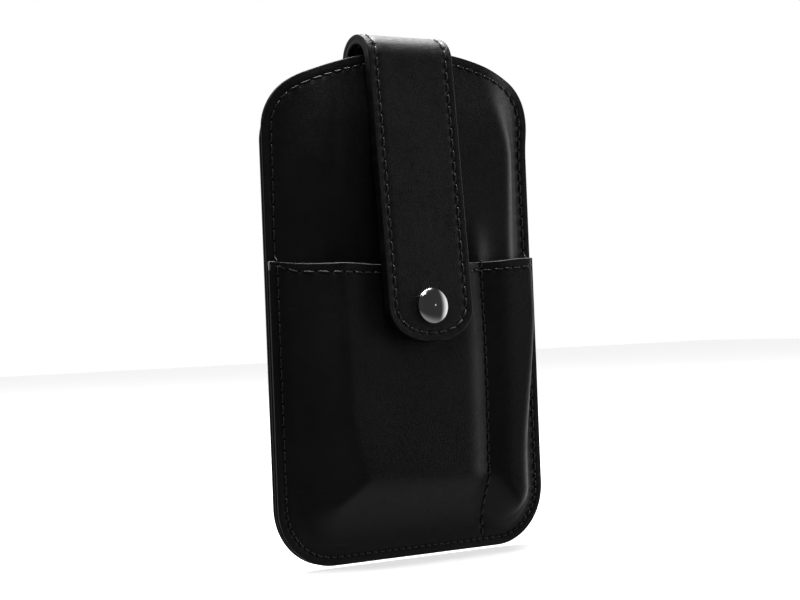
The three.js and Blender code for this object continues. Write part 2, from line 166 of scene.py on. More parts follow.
# Stitched line between the pocket and the pen slot
DIVIDER_X = 25.0
DIVIDER_LEAN = 3.0
LEAN_ENDS = (0, 34)
DIVIDER_SPREAD = 5.0
DIVIDER_RIDGE = 2.2
DIVIDER_FURROW = 2.3
RIDGE_FADE = (100, 122)

# Strap and press stud
SNAP_STACK = 5.25  # from the strap's outer face to the pocket's
SEAT_RADII = (6, 38)
TIP_Z = 75.0
TIP_RISE = 12.0
TIP_FULLNESS = 2.1
LOOP_LOW = 88.0
LOOP_HIGH = 142.0
LOOP_SLOPE = 10.0
LOOP_LIFT = 5.7
LOWER_TIE = (69.0, 76.0)
UPPER_TIE = (155.0, 169.0)
TIE_INSET = 2.5
CAP_RIM = 0.7
CAP_HEIGHT = 2.65
SHANK = 1.6
SOCKET_TOP = PLY + LAYER_GAP + 0.1
STUD_BASE = SNAP_STACK - FIT_GAP / 2
POST_INSIDE = SNAP_STACK + PANEL + FIT_GAP
AXIS_RADIUS = 0.01  # a turned part's points on the axis stay this far off it

# Finish
EDGE_ROUND = 0.38  # radius of the dressed edges
EDGE_TURN = (25, 50, 75)  # angles of the points on it
GROOVE_HALF = 0.3  # groove between the strap's plies
GROOVE_DEPTH = 0.2
STITCH = 4.0
DIVIDER_STITCH = 3.8
RIM_STITCH = 2.8  # along the bottom and its round corners
RIM_STITCH_Z = 25.0  # the side seams' stitches get shorter below this
EDGE_STITCH = (2.6, 1.2)  # one stitch steps from this far over the pocket's edge to this far under it
EDGE_SEAM_CURVE = (9, 1.6)  # width and height of the curve at each end of the pocket edge's seam
SEAM_TOP = MOUTH_Z - 1  # the side seams end here and the mouth's stitches begin
EDGE_STEP = (0.1, 1.7)  # heights over the edge between which the thread comes down to the front panel
STITCH_END = 0.42  # from a hole to the thread's end
STITCH_SLANT = 0.11  # how far each end lies beside the seam's line
STITCH_SINK = 0.5  # depth of its ends
STITCH_RISE = 0.63  # its top over its ends
THREAD_RADIUS = 0.25
THREAD_TWIST = 5.5  # radians along one stitch
FURROW_DEPTH = 0.16
HOLE_DEPTH = 0.2  # deeper than the furrow by this
FURROW_REACH = 0.9
NO_SEAM = 1e3  # distance from a seam that leaves no mark


def smooth(value, low, high):
    share = np.clip((value - low) / (high - low), 0, 1)
    return share * share * (3 - 2 * share)


def smoother(value, low, high):
    share = np.clip((value - low) / (high - low), 0, 1)
    return share**3 * (share * (6 * share - 15) + 10)


def mix(a, b, share):
    return a + (b - a) * share


def unit(vectors):
    return vectors / np.linalg.norm(vectors, axis=-1, keepdims=True)


def outward_of(tangent):
    """Unit vectors to the right of a way that is given by its tangents."""
    return unit(np.stack([tangent[:, 1], -tangent[:, 0]], -1))


def to_frame(points):
    return (np.asarray(points, float) + ORIGIN) * MM


# Outline

def arch_z(x, inset=0.0):
    """Height of the front panel's arch: one large arc between two shoulder arcs."""
    shoulder = CORNER_RADIUS - inset
    centre_x = HALF_WIDTH - CORNER_RADIUS
    top = HEIGHT - inset
    drop = SHOULDER_Z - top
    large = (shoulder**2 - centre_x**2 - drop**2) / (2 * (drop + shoulder))
    join_x = centre_x * large / (large - shoulder)
    side = np.abs(x - ARCH_SHIFT * (1 - (x / (HALF_WIDTH - inset)) ** 2))
    middle = top - large + np.sqrt(np.maximum(0, large**2 - side**2))
    corner = SHOULDER_Z + np.sqrt(np.maximum(0, shoulder**2 - (side - centre_x) ** 2))
    return np.where(side < join_x, middle, corner)


def bottom_z(x, inset=0.0):
    radius = CORNER_RADIUS - inset
    over = np.maximum(0, np.abs(x) - (HALF_WIDTH - CORNER_RADIUS))
    return CORNER_RADIUS - np.sqrt(np.maximum(0, radius**2 - over**2))


def pocket_line(x):
    return POCKET_Z - POCKET_DIP * (1 - (x / HALF_WIDTH) ** 2)


def pocket_top(x, inset=0.0):
    """The pocket's open edge: its line and a slight unevenness of the cut."""
    uneven = 0.14 * np.sin(x / 5.3 + 0.8) + 0.1 * np.sin(x / 2.9)
    return pocket_line(x) + uneven - inset


def edge_distance(x, z):
    """Distance from the sewn edge: the two sides and the bottom, with its round corners."""
    centre_x = HALF_WIDTH - CORNER_RADIUS
    side = np.abs(x)
    corner = CORNER_RADIUS - np.hypot(side - centre_x, CORNER_RADIUS - z)
    straight = np.minimum(HALF_WIDTH - side, z)
    return np.where((side > centre_x) & (z < CORNER_RADIUS), corner, straight)


# Molded surfaces: how far a panel's outer face stands in front of the back panel's inner face

def swell(x, z, width):
    return smoother((edge_distance(x, z) - SEAM_FLAT) / width, 0, 1)


def divider_x(z):
    return DIVIDER_X + DIVIDER_LEAN * (1 - smooth(z, *LEAN_ENDS))


def drawn_in(x, z):
    return np.exp(-(((x - divider_x(z)) / DIVIDER_SPREAD) ** 2))


def slope_width(x, z):
    side = mix(SLOPE_LEFT, SLOPE_RIGHT, smooth(x, *SLOPE_TURN))
    return mix(mix(SLOPE_FOOT, side, smooth(z, *FOOT_ENDS)), SLOPE_MOUTH, smooth(z, *MOUTH_ENDS))


def run_depth(z):
    """How far the outer face of the strap's front run stands out."""
    top = strap_point(RUN_LENGTH)
    return -top[0] + (top[1] - z) * math.tan(FRONT_TILT)


def undulation(x, z, size):
    """The slight unevenness of hand-molded leather."""
    broad = np.sin(x / 13 + 0.6) * np.sin(z / 17 + 1.1) + 0.6 * np.sin(x / 21 - z / 12 + 2.0)
    small = 0.35 * np.sin(x / 5.1 + z / 7.3) * np.sin(z / 6.1 - 0.4)
    return size * (broad + small)


def front_depth(x, z):
    risen = mix(FRONT_LOW, FRONT_HIGH, smooth(z, *FRONT_RISE))
    middle = mix(risen, FRONT_MOUTH, smooth(z, *FRONT_CLOSE))
    ridge = DIVIDER_RIDGE * drawn_in(x, z) * (1 - smooth(z, *RIDGE_FADE))
    flare = mix(FLARE_LEFT, FLARE_RIGHT, smooth(x, *FLARE_TURN))
    edge = FRONT_SEAM + flare * smooth(z, *FLARE_RISE)
    middle = middle + ridge + undulation(x, z, UNEVEN_FRONT)
    return mix(edge, middle, swell(x, z, slope_width(x, z)))


def pocket_depth(x, z):
    risen = mix(POCKET_FOOT, POCKET_BELLY, smooth(z, *BELLY_RISE))
    free = mix(risen, POCKET_EDGE, smooth(z, *BELLY_CLOSE)) + undulation(x, z, UNEVEN_POCKET)
    seat = 1 - smooth(np.hypot(x - STRAP_X, z - SNAP_Z), *SEAT_RADII)
    pressed = mix(free, run_depth(z) - SNAP_STACK / math.cos(FRONT_TILT), seat)
    crease = mix(CREASE_FOOT, CREASE_TOP, smooth(z, *CREASE_ENDS))
    slope = slope_width(x, z)
    width = mix(slope, np.minimum(crease, slope), smooth(x, *CREASE_TURN))
    return mix(POCKET_SEAM, pressed - DIVIDER_FURROW * drawn_in(x, z), swell(x, z, width))


def slope_factor(depth, x, z):
    """How much longer a straight way through a leaning panel is than its thickness."""
    step = 0.2
    across = (depth(x + step, z) - depth(x - step, z)) / (2 * step)
    up = (depth(x, z + step) - depth(x, z - step)) / (2 * step)
    return np.sqrt(1 + across**2 + up**2)


# Strap: a flat strip whose length is measured from its tip, laid over a path

def loop_offset(z):
    upper = 1 - smooth(z, LOOP_HIGH, LOOP_HIGH + LOOP_SLOPE)
    return LOOP_LIFT * smooth(z, LOOP_LOW - LOOP_SLOPE, LOOP_LOW) * upper


FRONT_TOP = CROWN + CROWN_RADIUS * np.array([math.cos(CROWN_ARC), math.sin(CROWN_ARC)])
RUN_LENGTH = (FRONT_TOP[1] - TIP_Z) / math.cos(FRONT_TILT)
CROWN_LENGTH = CROWN_RADIUS * CROWN_ARC
CROWN_MIDDLES = [RUN_LENGTH + CROWN_LENGTH * (k + 0.5) / 3 for k in range(3)]
STRAP_LENGTH = RUN_LENGTH + CROWN_LENGTH + CROWN[1] - STRAP_END_Z


def strap_path(length):
    """Point on the strap's outer face and its outward normal, each as (y, z), by the length from the tip."""
    length = np.asarray(length, float)
    down = np.array([-math.sin(FRONT_TILT), -math.cos(FRONT_TILT)])
    run = FRONT_TOP + np.multiply.outer(RUN_LENGTH - length, down)
    run_normal = np.broadcast_to([-math.cos(FRONT_TILT), math.sin(FRONT_TILT)], run.shape)
    angle = CROWN_ARC - (length - RUN_LENGTH) / CROWN_RADIUS
    over_normal = np.stack([np.cos(angle), np.sin(angle)], -1)
    over = CROWN + CROWN_RADIUS * over_normal
    z = CROWN[1] - (length - RUN_LENGTH - CROWN_LENGTH)
    rear = np.stack([CROWN[0] + CROWN_RADIUS + loop_offset(z), z], -1)
    lean = (loop_offset(z + 0.1) - loop_offset(z - 0.1)) / 0.2
    rear_normal = np.stack([np.ones_like(z), -lean], -1) / np.sqrt(1 + lean**2)[..., None]
    on_run = (length <= RUN_LENGTH)[..., None]
    on_rear = (length >= RUN_LENGTH + CROWN_LENGTH)[..., None]
    point = np.where(on_run, run, np.where(on_rear, rear, over))
    normal = np.where(on_run, run_normal, np.where(on_rear, rear_normal, over_normal))
    return point, normal


def strap_point(length):
    return strap_path(length)[0]


def on_strap(across, length, height):
    """Layout position of a point at a height above the strap's outer face."""
    point, normal = strap_path(length)
    placed = point + normal * np.asarray(height, float)[..., None]
    return np.stack([STRAP_X + across, placed[..., 0], placed[..., 1]], -1)


cap_middle = (cap_low + cap_high) / 2 - ORIGIN
SNAP_LENGTH = RUN_LENGTH - (FRONT_TOP[1] - cap_middle[2]) / math.cos(FRONT_TILT)
SNAP_Z = float(strap_point(SNAP_LENGTH)[1])


# Seams: lines of stitches on a flat panel or strip

def resample(points, spacing):
    """Even points along a polyline."""
    points = np.asarray(points, float)
    reach = np.concatenate([[0], np.cumsum(np.hypot(*np.diff(points, axis=0).T))])
    count = max(2, round(reach[-1] / spacing))
    at = np.linspace(0, reach[-1], count + 1)
    return np.stack([np.interp(at, reach, points[:, k]) for k in range(2)], -1)


def arc(centre, radius, start, end, count=24):
    angle = np.radians(np.linspace(start, end, count + 1))
    return np.stack([centre[0] + radius * np.cos(angle), centre[1] + radius * np.sin(angle)], -1)


def side_seam(high, low):
    """The left side seam's holes between two heights. It leans in a little towards the mouth."""
    z = np.linspace(high, low, 30)
    margin = mix(SEAM_MARGIN, MOUTH_MARGIN, smooth(z, POCKET_Z, MOUTH_Z))
    return resample(np.stack([margin - HALF_WIDTH, z], -1), STITCH)


def rim_seam():
    """Both sides and the bottom. At the pocket's open edge one stitch steps over the edge."""
    over, under = EDGE_STITCH
    left = np.concatenate([
        side_seam(SEAM_TOP, POCKET_Z + over),
        side_seam(POCKET_Z - under, RIM_STITCH_Z),
    ])
    centre_x = HALF_WIDTH - CORNER_RADIUS
    corner = arc((-centre_x, CORNER_RADIUS), CORNER_RADIUS - SEAM_MARGIN, 180, 270)
    half = np.concatenate([[left[-1]], corner])
    bottom = resample(np.concatenate([half, half[::-1] * [-1, 1]]), RIM_STITCH)
    return np.concatenate([left, bottom[1:-1], left[::-1] * [-1, 1]])


def mouth_seam():
    side = HALF_WIDTH - MOUTH_MARGIN
    x = -side * np.cos(np.linspace(0, math.pi, 91))
    arch = np.stack([x, arch_z(x, MOUTH_MARGIN)], -1)
    return resample(np.concatenate([[[-side, SEAM_TOP]], arch, [[side, SEAM_TOP]]]), STITCH)


def pocket_seam():
    """Under the pocket's open edge. At both ends it curves up to the side seam."""
    width, height = EDGE_SEAM_CURVE
    x = np.linspace(-1, 1, 121) * (HALF_WIDTH - SEAM_MARGIN)
    rise = height * smooth(np.abs(x), HALF_WIDTH - width, HALF_WIDTH - SEAM_MARGIN)
    return resample(np.stack([x, pocket_line(x) - SEAM_MARGIN + rise], -1), STITCH)


def divider_seam():
    """From over the pocket's open edge down to the bottom seam."""
    over_edge, over_seam = 1.3, 0.6
    z = np.linspace(pocket_line(DIVIDER_X) + over_edge, SEAM_MARGIN + over_seam, 50)
    return resample(np.stack([divider_x(z), z], -1), DIVIDER_STITCH)


def strap_outline(inset=0.0):
    """Right edge of the strap from its tip up, as (across, length)."""
    rise = TIP_RISE - inset
    start = 0.09  # share of the tip's quarter turn that stays flat
    up = rise * (1 - np.cos(np.linspace(start, 1, 18) * math.pi / 2))
    half = (STRAP_HALF - inset) * (1 - (1 - up / rise) ** TIP_FULLNESS) ** (1 / TIP_FULLNESS)
    return np.stack([half, inset + up], -1)


def strap_seam():
    tip = strap_outline(SEAM_MARGIN)
    top = [[STRAP_HALF - SEAM_MARGIN, STRAP_LENGTH - SEAM_MARGIN]]
    right = np.concatenate([tip, top])
    return resample(np.concatenate([right[::-1] * [-1, 1], right]), STITCH)


def tie_seam(low, high):
    """A stitched rectangle that ties the strap to the back."""
    half = STRAP_HALF - SEAM_MARGIN - TIE_INSET
    near, far = (RUN_LENGTH + CROWN_LENGTH + CROWN[1] - z for z in (high, low))
    return resample([[-half, near], [half, near], [half, far], [-half, far], [-half, near]], STITCH)


def seam_field(points, seams, chunk=4000):
    """For each flat point: how far along the nearest seam it is, in stitches, and its distance from it."""
    phase = np.zeros(len(points))
    distance = np.full(len(points), NO_SEAM)
    for holes in seams:
        a, b = holes[:-1], holes[1:]
        along = b - a
        for start in range(0, len(points), chunk):
            here = slice(start, start + chunk)
            part = points[here, None]
            share = np.clip(((part - a) * along).sum(-1) / (along**2).sum(-1), 0, 1)
            gap = np.linalg.norm(part - a - share[..., None] * along, axis=-1)
            best = gap.argmin(1)
            rows = np.arange(len(best))
            nearest = gap[rows, best]
            closer = nearest < distance[here]
            phase[here] = np.where(closer, best + share[rows, best], phase[here])
            distance[here] = np.where(closer, nearest, distance[here])
    return phase, distance


def furrow(phase, distance):
    """Depth by which the thread pulls the leather down, deepest at its holes."""
    at_hole = np.cos(2 * math.pi * phase) * 0.5 + 0.5
    return (FURROW_DEPTH + HOLE_DEPTH * at_hole**2) * np.exp(-((distance / FURROW_REACH) ** 2))


# Meshes

def new_object(name, data):
    thing = bpy.data.objects.new(name, data)
    bpy.context.scene.collection.objects.link(thing)
    return thing


def new_mesh(name, points, faces, materials, face_materials=None, fields=None, normals=None):
    mesh = bpy.data.meshes.new(name)
    mesh.from_pydata(to_frame(points).tolist(), [], faces)
    for material in materials:
        mesh.materials.append(material)
    if face_materials is not None:
        mesh.polygons.foreach_set("material_index", face_materials)
    mesh.polygons.foreach_set("use_smooth", [True] * len(mesh.polygons))
    for field, values in (fields or {}).items():
        values = np.asarray(values, np.float32)
        if values.ndim == 1:
            mesh.attributes.new(field, "FLOAT", "POINT").data.foreach_set("value", values)
        else:
            store = mesh.attributes.new(field, "FLOAT_VECTOR", "POINT")
            store.data.foreach_set("vector", values.ravel())
    mesh.validate()
    if normals is not None:
        mesh.normals_split_custom_set_from_vertices(normals.tolist())
    return new_object(name, mesh)


def edge_profile(thickness, joint=None):
    """Section of a dressed edge, as (outward, height) from the outer face's rim to the inner one's."""
    turn = np.radians(EDGE_TURN)
    upper = [(EDGE_ROUND * math.sin(a), -EDGE_ROUND * (1 - math.cos(a))) for a in turn]
    lower = [(out, -thickness - height) for out, height in reversed(upper)]
    groove = []
    if joint is not None:
        groove = [
            (EDGE_ROUND, -joint + GROOVE_HALF),
            (EDGE_ROUND - GROOVE_DEPTH, -joint),
            (EDGE_ROUND, -joint - GROOVE_HALF),
        ]
    middle = [(EDGE_ROUND, -EDGE_ROUND), *groove, (EDGE_ROUND, EDGE_ROUND - thickness)]
    return np.array([*upper, *middle, *lower])


def grid_faces(columns, rows, first=0, flip=False):
    """Quads of a grid whose points run along the columns first."""
    faces = []
    for row in range(rows - 1):
        for column in range(columns - 1):
            a = first + row * columns + column
            quad = [a, a + 1, a + 1 + columns, a + columns]
            faces.append(quad[::-1] if flip else quad)
    return faces


def ring_faces(rings, around, first=0, closed=False):
    """Quads between rings of points. If closed, the last ring joins the first."""
    faces = []
    for ring in range(rings if closed else rings - 1):
        near = first + ring * around
        far = first + (ring + 1) % rings * around
        for k in range(around):
            following = (k + 1) % around
            faces.append([near + k, near + following, far + following, far + k])
    return faces


def graded(count):
    """Positions from -1 to 1 that crowd towards both ends."""
    return np.sin(np.linspace(-math.pi / 2, math.pi / 2, count + 1))


def panel(name, low, high, depth, thickness, half_width, across, up, seams, materials):
    """A molded panel: an outer and an inner face of even thickness, joined by a dressed edge.

    The grid's lines lie at the shares `across` and `up`, from -1 to 1. The materials are those of the outer
    face, the edge and the inner face.
    """
    half = half_width - EDGE_ROUND
    x = np.tile(half * across, (len(up), 1))
    z = mix(low(x, EDGE_ROUND), high(x, EDGE_ROUND), (1 + up[:, None]) / 2)
    columns, rows = len(across), len(up)
    flat = np.stack([x.ravel(), z.ravel()], -1)
    phase, distance = seam_field(flat, seams)
    level = depth(flat[:, 0], flat[:, 1])
    through = thickness * slope_factor(depth, flat[:, 0], flat[:, 1])
    outer = np.stack([flat[:, 0], furrow(phase, distance) - level, flat[:, 1]], -1)
    inner = np.stack([flat[:, 0], through - level, flat[:, 1]], -1)

    index = np.arange(columns * rows).reshape(rows, columns)
    loop = np.concatenate([index[0], index[1:, -1], index[-1, -2::-1], index[-2:0:-1, 0]])
    outward = outward_of(np.roll(flat[loop], -1, 0) - np.roll(flat[loop], 1, 0))
    profile = edge_profile(thickness)
    rings = []
    for out, height in profile:
        place = flat[loop] + outward * out
        lift = -height * through[loop] / thickness
        rings.append(np.stack([place[:, 0], lift - level[loop], place[:, 1]], -1))
    points = np.concatenate([outer, inner, *rings])

    total = columns * rows
    faces = grid_faces(columns, rows) + grid_faces(columns, rows, total, flip=True)
    kinds = [0] * ((columns - 1) * (rows - 1)) + [2] * ((columns - 1) * (rows - 1))
    lines = [loop, *(2 * total + k * len(loop) + np.arange(len(loop)) for k in range(len(profile)))]
    lines.append(loop + total)
    for step, (upper, lower) in enumerate(zip(lines, lines[1:])):
        following = np.stack([upper, lower, np.roll(lower, -1), np.roll(upper, -1)], -1)
        faces += following.tolist()
        kinds += [1 if 0 < step < len(lines) - 2 else 0] * len(loop)
    around = np.tile(loop, len(profile))
    source = np.concatenate([np.arange(total), np.arange(total), around])
    inside = np.concatenate([np.zeros(total), np.ones(total), np.full(len(around), 0.5)])
    fields = {
        "flat": np.column_stack([flat[source], inside]),
        "stitch": np.column_stack([phase, distance, np.zeros(total)])[source],
        "wear": np.concatenate([np.zeros(2 * total), np.ones(len(around))]),
    }
    fields["stitch"][total:, 1] = NO_SEAM
    return new_mesh(name, points, faces, materials, kinds, fields)


def strap_rows(start, end, spacing):
    count = max(1, round((end - start) / spacing))
    return np.linspace(start, end, count + 1)[1:]


def strap_stations():
    """Outline of the whole strap as (half width, length), dense at the tip and over the crown."""
    tip = strap_outline()
    reach = 6
    dense = (RUN_LENGTH - reach, RUN_LENGTH + CROWN_LENGTH + reach)
    ends = [TIP_RISE, dense[0], *CROWN_MIDDLES, dense[1], STRAP_LENGTH]
    spacings = [1.3, 0.4, 0.4, 0.4, 0.4, 1.0]
    straight = np.concatenate([strap_rows(*part) for part in zip(ends, ends[1:], spacings)])
    return np.concatenate([tip, np.stack([np.full(len(straight), STRAP_HALF), straight], -1)])


def strap_section_points(stations):
    """Every section loop of the strap: outer face, right edge, inner face, left edge.

    The side is 0 on the outer face, 1 on the inner face and 0.5 on the edges.
    """
    across = graded(44)
    profile = edge_profile(STRAP, PLY + LAYER_GAP / 2)
    columns, edge = len(across), len(profile)
    outward = outward_of(np.gradient(stations, axis=0))
    inset = stations - outward * EDGE_ROUND
    flat = []
    for (half, length), (out_x, out_l) in zip(inset, outward):
        face = np.stack([half * across, np.full(columns, length)], -1)
        right = np.stack([half + profile[:, 0] * out_x, length + profile[:, 0] * out_l], -1)
        flat.append(np.concatenate([face, right, face[::-1], right[::-1] * [-1, 1]]))
    height = np.concatenate([np.zeros(columns), profile[:, 1], np.full(columns, -STRAP), profile[::-1, 1]])
    side = np.repeat([0, 0.5, 1, 0.5], [columns, edge, columns, edge])
    return np.array(flat), height, side, columns, edge


def smooth_normals(points, faces):
    """Area-weighted normals of all the points."""
    quads = np.array(faces)
    across = points[quads[:, 2]] - points[quads[:, 0]]
    other = points[quads[:, 3]] - points[quads[:, 1]]
    face_normals = np.cross(across, other)
    normals = np.zeros_like(points)
    for corner in range(4):
        np.add.at(normals, quads[:, corner], face_normals)
    return normals / np.maximum(np.linalg.norm(normals, axis=1), 1e-12)[:, None]


def strap_pieces(materials):
    """The strap as four pieces that meet in the middle of the crown's three stretches."""
    stations = strap_stations()
    sections, height, side, columns, edge = strap_section_points(stations)
    rows, around = sections.shape[:2]
    height, side = np.tile(height, rows), np.tile(side, rows)
    flat = sections.reshape(-1, 2)
    outer_face, inner_face = side == 0, side == 1
    phase, distance = seam_field(flat, [strap_seam(), tie_seam(*LOWER_TIE), tie_seam(*UPPER_TIE)])
    distance[~outer_face] = NO_SEAM
    phase[inner_face], distance[inner_face] = seam_field(flat[inner_face], [strap_seam()])
    sunk = furrow(phase, distance) * np.where(inner_face, -1, 1)
    points = on_strap(flat[:, 0], flat[:, 1], height - sunk)

    quads = ring_faces(rows, around)
    normals = smooth_normals(points, quads)
    stitch = np.column_stack([phase, distance, np.zeros(len(phase))])
    spot = np.column_stack([flat, side])
    wear = (side == 0.5).astype(float)

    cuts = [0, *(int(np.abs(stations[:, 1] - m).argmin()) for m in CROWN_MIDDLES), rows - 1]
    names = ["strap_tongue", "strap_crown_front", "strap_crown_back", "strap_tail"]
    quad_kind = np.repeat([0, 1, 2, 1, 0], [columns, edge - 1, columns + 1, edge - 1, 1]).tolist()
    pieces = []
    for name, first, last in zip(names, cuts, cuts[1:]):
        keep = slice(first * around, (last + 1) * around)
        faces = [[i - first * around for i in q] for q in quads[first * around : last * around]]
        kinds = quad_kind * (last - first)
        for row, flip in ((0, False), (last - first, True)):
            for face in end_faces(columns, edge, row * around):
                faces.append(face[::-1] if flip else face)
                kinds.append(1)
        fields = {"flat": spot[keep], "stitch": stitch[keep], "wear": wear[keep]}
        pieces.append(new_mesh(name, points[keep], faces, materials, kinds, fields, normals[keep]))
    return pieces


def end_faces(columns, edge, first):
    """Faces that close one end of the strap, from its outer face to its inner face."""
    right = [columns - 1, *range(columns, columns + edge), columns + edge]
    left = [0, *reversed(range(2 * columns + edge, 2 * (columns + edge))), 2 * columns + edge - 1]
    faces = [[*range(columns), right[1], left[1]]]
    for k in range(1, edge):
        faces.append([left[k], right[k], right[k + 1], left[k + 1]])
    inner = list(range(columns + edge, 2 * columns + edge))
    faces.append([left[edge], right[edge], *inner])
    return [[first + i for i in reversed(face)] for face in faces]


def stitches(name, holes, place, material, keep=None, side=1):
    """A line of lockstitches: each comes out of one hole and dives into the next.

    No two are quite alike: their slant and their height change a little with their number.
    """
    steps, sides = 12, 10
    share = (1 - np.cos(np.linspace(0, math.pi, steps + 1))) / 2
    angle = np.linspace(0, 2 * math.pi, sides, endpoint=False)
    points, faces = [], []
    for number, (a, b) in enumerate(zip(holes, holes[1:])):
        if keep is not None and not keep((a + b) / 2):
            continue
        along = (b - a) / np.linalg.norm(b - a)
        uneven = math.sin(2.4 * number) + math.sin(5.7 * number + 1)
        slant = np.array([-along[1], along[0]]) * (STITCH_SLANT + 0.04 * uneven)
        start, end = a + along * STITCH_END + slant, b - along * STITCH_END - slant
        line = mix(start, end, share[:, None])
        arch = 1 - np.abs(2 * share - 1) ** 4
        height = side * ((STITCH_RISE + 0.05 * uneven) * arch - STITCH_SINK)
        centre = place(line[:, 0], line[:, 1], height)
        up = unit(place(line[:, 0], line[:, 1], height + side) - centre)
        forward = unit(np.gradient(centre, axis=0))
        across = unit(np.cross(forward, up))
        up = np.cross(across, forward)
        first = sum(len(p) for p in points)
        for k in range(steps + 1):
            twist = angle - THREAD_TWIST * share[k]
            radius = THREAD_RADIUS * (1 + 0.1 * np.cos(3 * twist)) * (0.8 + 0.2 * arch[k] ** 0.5)
            ring = np.multiply.outer(radius * np.cos(angle), across[k])
            ring += np.multiply.outer(radius * np.sin(angle), up[k])
            points.append(centre[k] + ring)
        faces += ring_faces(steps + 1, sides, first)
        faces.append([first + m for m in reversed(range(sides))])
        faces.append([first + steps * sides + m for m in range(sides)])
    return new_mesh(name, np.concatenate(points), faces, [material])


def snap_axis():
    """Where the press stud's axis meets the strap's outer face, its way inward and the way up."""
    point, normal = strap_path(SNAP_LENGTH)
    inward = -np.array([0, *normal])
    return np.array([STRAP_X, *point]), inward, np.cross(inward, [1, 0, 0])


def lathe(name, profile, material, turns=96):
    """A turned part on the press stud's axis. The profile is (radius, depth under the strap's outer face)."""
    centre, inward, upward = snap_axis()
    angle = np.linspace(0, 2 * math.pi, turns, endpoint=False)
    points = []
    for radius, depth in profile:
        ring = np.multiply.outer(np.cos(angle), [1, 0, 0]) + np.multiply.outer(np.sin(angle), upward)
        points.append(centre + inward * depth + ring * max(radius, AXIS_RADIUS))
    faces = ring_faces(len(profile), turns, closed=True)
    return new_mesh(name, np.concatenate(points), faces, [material])


# Materials

class Nodes:
    """The nodes of a material or of a world, added and linked by short calls."""

    def __init__(self, owner, shader="Principled BSDF"):
        owner.use_nodes = True
        self.owner = owner
        self.tree = owner.node_tree
        self.shader = self.tree.nodes[shader]

    def put(self, socket, value):
        if isinstance(value, bpy.types.NodeSocket):
            self.tree.links.new(value, socket)
        else:
            socket.default_value = value

    def add(self, kind, values=None, **settings):
        node = self.tree.nodes.new(kind)
        for setting, value in settings.items():
            setattr(node, setting, value)
        for socket, value in (values or {}).items():
            self.put(node.inputs[socket], value)
        return node

    def set(self, **values):
        for socket, value in values.items():
            self.put(self.shader.inputs[socket.replace("_", " ")], value)

    def field(self, name, output="Vector"):
        return self.add("ShaderNodeAttribute", attribute_name=name).outputs[output]

    def object_place(self):
        return self.add("ShaderNodeTexCoord").outputs["Object"]

    def stretch(self, place, scale, turn=(0, 0, 0)):
        values = {"Vector": place, "Rotation": turn, "Scale": scale}
        return self.add("ShaderNodeMapping", values).outputs["Vector"]

    def cells(self, place, scale, feature):
        values = {"Vector": place, "Scale": scale}
        return self.add("ShaderNodeTexVoronoi", values, feature=feature).outputs["Distance"]

    def math(self, operation, a, b=0.0, clamp=False):
        return self.add("ShaderNodeMath", {0: a, 1: b}, operation=operation, use_clamp=clamp).outputs[0]

    def ramp(self, value, low, high, out_low=0.0, out_high=1.0, **settings):
        values = {"Value": value, "From Min": low, "From Max": high, "To Min": out_low, "To Max": out_high}
        return self.add("ShaderNodeMapRange", values, **settings).outputs["Result"]

    def noise(self, place, scale, detail=2.0, roughness=0.5):
        values = {"Vector": place, "Scale": scale, "Detail": detail, "Roughness": roughness}
        return self.add("ShaderNodeTexNoise", values).outputs["Fac"]

    def blend(self, share, a, b):
        """A colour between two."""
        return self.add("ShaderNodeMix", {0: share, 6: a, 7: b}, data_type="RGBA").outputs[2]

    def between(self, share, a, b):
        """A number between two."""
        return self.add("ShaderNodeMix", {0: share, 2: a, 3: b}).outputs[0]

    def bump(self, height, distance, strength=1.0, normal=None):
        values = {"Height": height, "Distance": distance, "Strength": strength}
        if normal is not None:
            values["Normal"] = normal
        return self.add("ShaderNodeBump", values).outputs["Normal"]


def material_nodes(name):
    return Nodes(bpy.data.materials.new(name))


def grey(value, blue=1.0):
    return (value, value, value * blue, 1.0)


